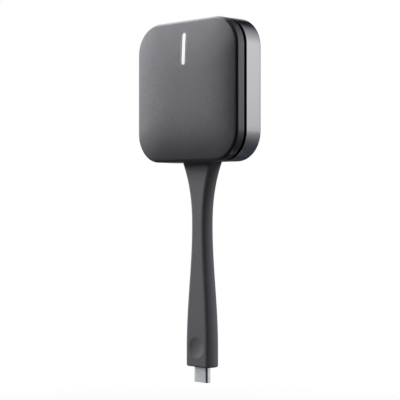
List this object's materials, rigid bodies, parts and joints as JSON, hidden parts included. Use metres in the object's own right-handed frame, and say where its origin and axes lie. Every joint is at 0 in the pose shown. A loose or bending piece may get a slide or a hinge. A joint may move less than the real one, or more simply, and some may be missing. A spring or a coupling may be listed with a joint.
{
  "type": "wireless presentation dongle",
  "caption": "Square press-to-share button head with a light bar, on a soft flared tail that ends in a small oval USB-C plug.",
  "frame": {"origin": "middle of the tail's end face, where the plug's sleeve stands out", "axes": "+Z along the tail from the plug to the head, +Y out of the head's back, +X to the right seen from the button side"},
  "size_m": [0.0594, 0.0166, 0.1526],
  "materials": {
    "cap_plastic": "grey moulding, fine matt metallic paint",
    "shell_metal": "grey anodised, satin",
    "black_plastic": "black moulding",
    "natural_plastic": "plain engineering plastic",
    "clear_guide": "clear diffusing light guide",
    "silicone": "translucent grey silicone",
    "tail_rubber": "dark grey soft-touch elastomer",
    "cable_rubber": "black cable jacket",
    "screw_steel": "zinc-plated steel",
    "spring_steel": "stainless spring sheet",
    "plug_metal": "satin nickel-plated steel",
    "gold": "gold-plated contacts",
    "board_green": "solder-masked circuit board",
    "chip_black": "moulded chip package",
    "tin_can": "tinned shielding sheet",
    "pad_grey": "thermal gap pad",
    "copper": "copper foil",
    "led_white": "white status light"
  },
  "bodies": {
    "housing": {"mid_frame": "black_plastic", "rear_shell": "shell_metal", "return_domes": "silicone", "frame_screws": "screw_steel", "board_screws": "screw_steel", "clamp_screws": "screw_steel", "main_board": "board_green", "soc_chip": "chip_black", "thermal_pad": "pad_grey", "memory_chip": "chip_black", "radio_module": "tin_can", "shield_frame": "tin_can", "shield_lid": "tin_can", "power_coils": "chip_black", "crystal": "tin_can", "switch_housing": "black_plastic", "switch_dome": "spring_steel", "switch_terminals": "tin_can", "leds": "led_white", "led_baffle": "black_plastic", "antenna_left": "copper", "antenna_right": "copper", "antenna_pins": "gold", "tail_overmould": "tail_rubber", "root_insert": "natural_plastic", "tail_clamp": "spring_steel", "cable_jacket": "cable_rubber", "cable_wires": "copper", "cable_connector": "natural_plastic", "board_header": "natural_plastic", "plug_inner_mould": "natural_plastic", "plug_card": "board_green", "plug_card_chip": "chip_black", "plug_shell": "plug_metal", "plug_insulator": "black_plastic", "plug_contacts": "gold", "plug_latch": "spring_steel"},
    "button": {"front_cap": "cap_plastic", "light_guide": "clear_guide", "button_plate": "black_plastic"},
    "plunger": {"switch_plunger": "natural_plastic"}
  },
  "joints": [
    {"name": "button_press", "type": "slide", "parent": "housing", "child": "button", "axis": [0, 1, 0], "range_m": [0, 0.0005], "stiffness_N_per_m": 2500, "springref_m": -0.0004, "deforming": ["return_domes"]},
    {"name": "switch_press", "type": "slide", "parent": "housing", "child": "plunger", "axis": [0, 1, 0], "range_m": [0, 0.0005], "deforming": ["switch_dome"]}
  ],
  "couplings": [
    {"joint": "switch_press", "follows": "button_press", "ratio": 1}
  ]
}
